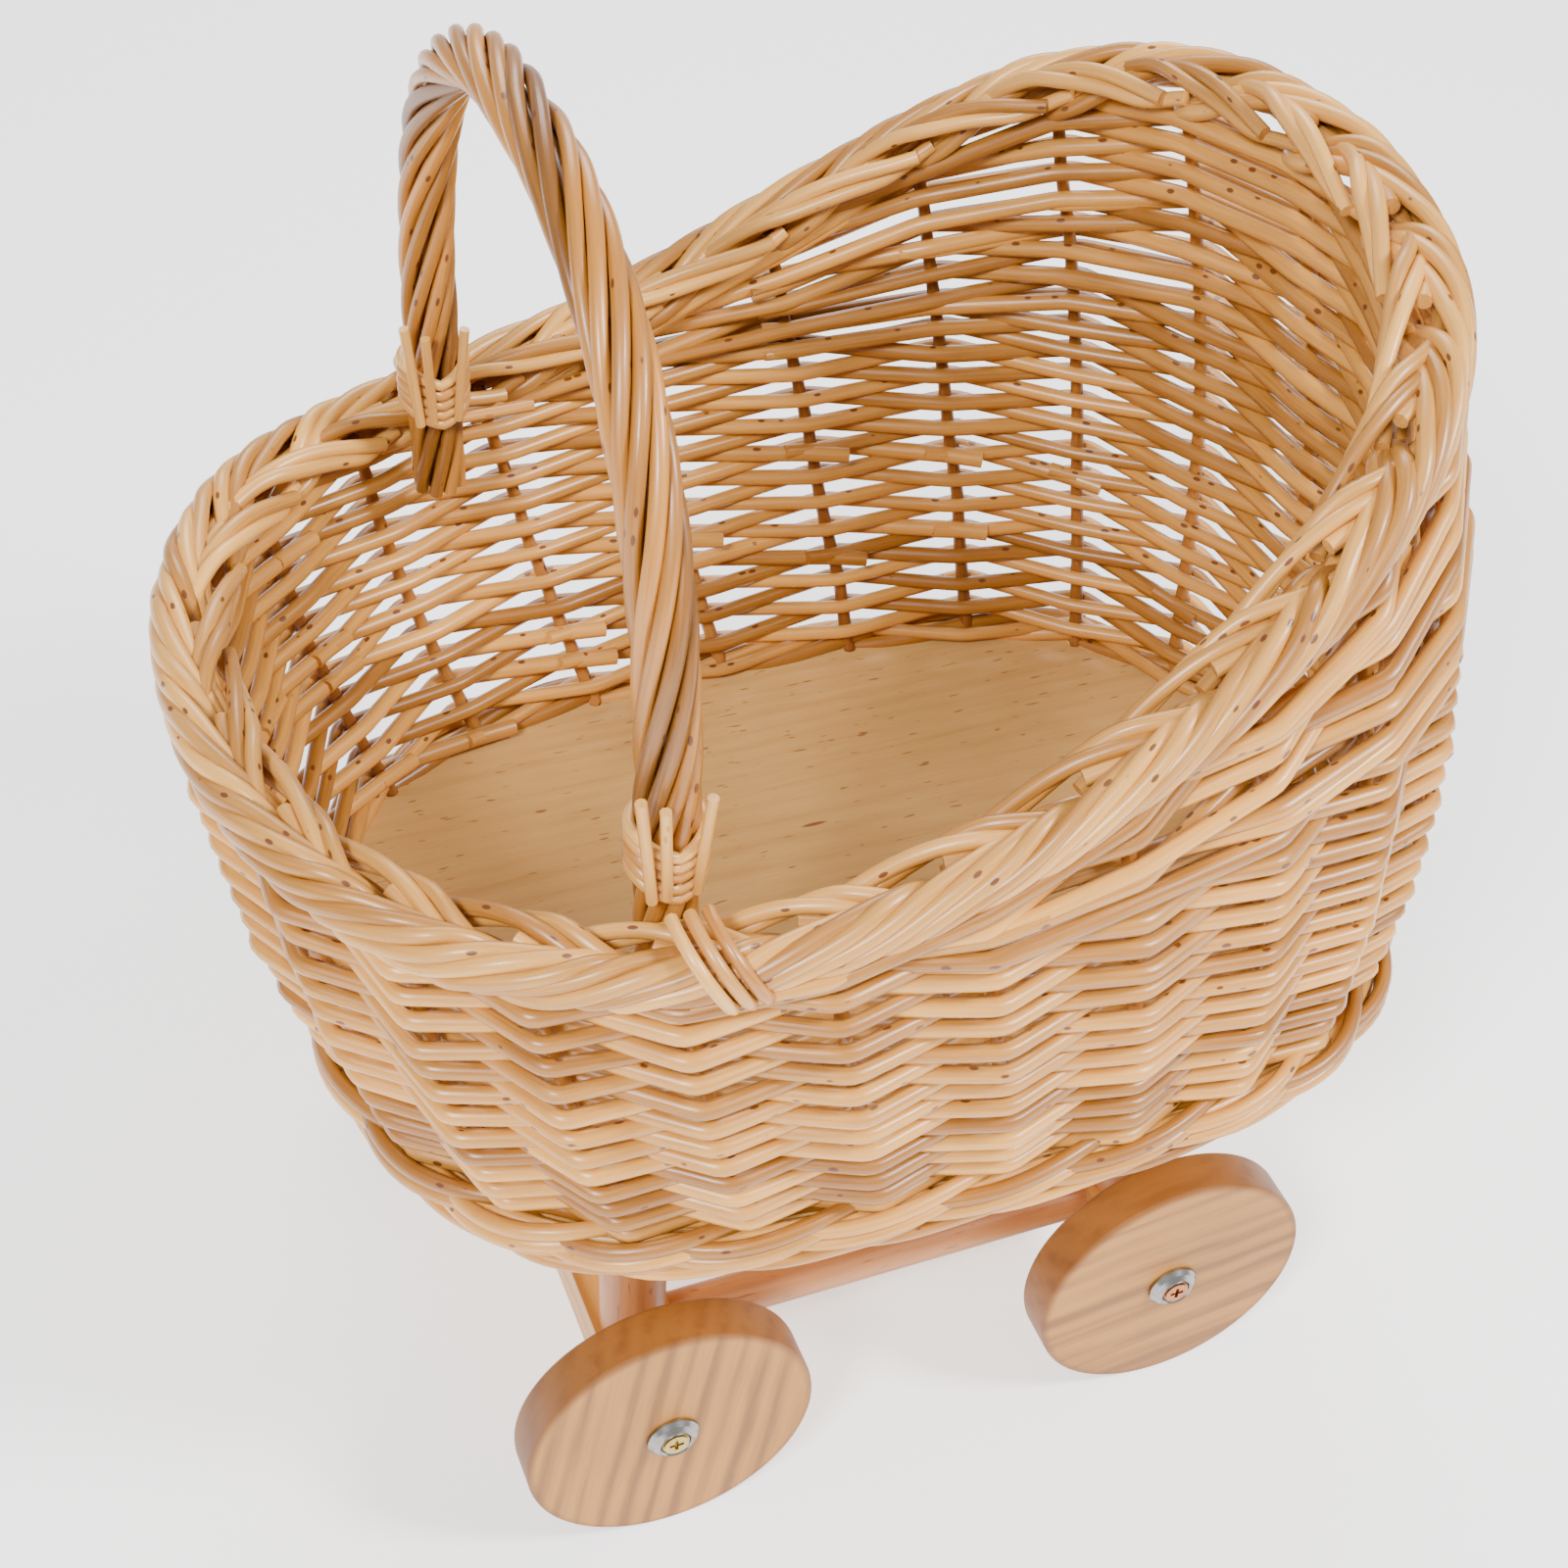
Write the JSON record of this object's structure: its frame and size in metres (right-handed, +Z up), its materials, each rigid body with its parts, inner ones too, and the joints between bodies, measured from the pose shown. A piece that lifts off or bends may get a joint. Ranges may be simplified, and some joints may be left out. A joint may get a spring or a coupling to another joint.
{
  "type": "doll stroller",
  "caption": "Woven willow doll pram with a high head end, a low foot end, a twisted arch handle and solid wooden wheels on a pine and beech chassis.",
  "frame": {"origin": "on the floor under the middle of the object's outline", "axes": "+X towards the high head end, +Y across to the side away from the near wheels, +Z up"},
  "size_m": [0.33, 0.254, 0.3815],
  "materials": {
    "willow": "peeled willow rods under satin clear lacquer",
    "skein": "split willow skein, satin clear lacquer",
    "plywood": "plain light plywood, matt",
    "pine_beam": "planed pine, satin lacquer",
    "pine_wheel": "sanded solid pine, thin clear lacquer, darker end grain on the tread",
    "beech": "round beech dowel, reddish, satin lacquer",
    "nickel": "pressed steel, bright nickel plated",
    "zinc": "steel, yellow zinc plated"
  },
  "bodies": {
    "basket": {"base_board": "plywood", "stakes": "willow", "foot_border": "willow", "base_wale": "willow", "side_weave": "willow", "head_weave": "willow", "rim_border": "willow", "handle_core": "willow", "handle_rods": "willow", "handle_binding_near": "skein", "handle_binding_far": "skein", "beam_foot": "pine_beam", "beam_head": "pine_beam", "post_foot_near": "beech", "post_foot_far": "beech", "post_head_near": "beech", "post_head_far": "beech", "stretcher_near": "beech", "stretcher_far": "beech", "cup_washers": "nickel", "wheel_screws": "zinc", "post_screws": "zinc"},
    "wheel_foot_near": {"wheel_foot_near": "pine_wheel"},
    "wheel_foot_far": {"wheel_foot_far": "pine_wheel"},
    "wheel_head_near": {"wheel_head_near": "pine_wheel"},
    "wheel_head_far": {"wheel_head_far": "pine_wheel"}
  },
  "joints": [
    {"name": "spin_foot_near", "type": "hinge", "parent": "basket", "child": "wheel_foot_near", "pos_m": [-0.0705, -0.0975, 0.04], "axis": [0, 1, 0], "continuous": true},
    {"name": "spin_foot_far", "type": "hinge", "parent": "basket", "child": "wheel_foot_far", "pos_m": [-0.0705, 0.0975, 0.04], "axis": [0, 1, 0], "continuous": true},
    {"name": "spin_head_near", "type": "hinge", "parent": "basket", "child": "wheel_head_near", "pos_m": [0.0785, -0.0975, 0.04], "axis": [0, 1, 0], "continuous": true},
    {"name": "spin_head_far", "type": "hinge", "parent": "basket", "child": "wheel_head_far", "pos_m": [0.0785, 0.0975, 0.04], "axis": [0, 1, 0], "continuous": true}
  ]
}
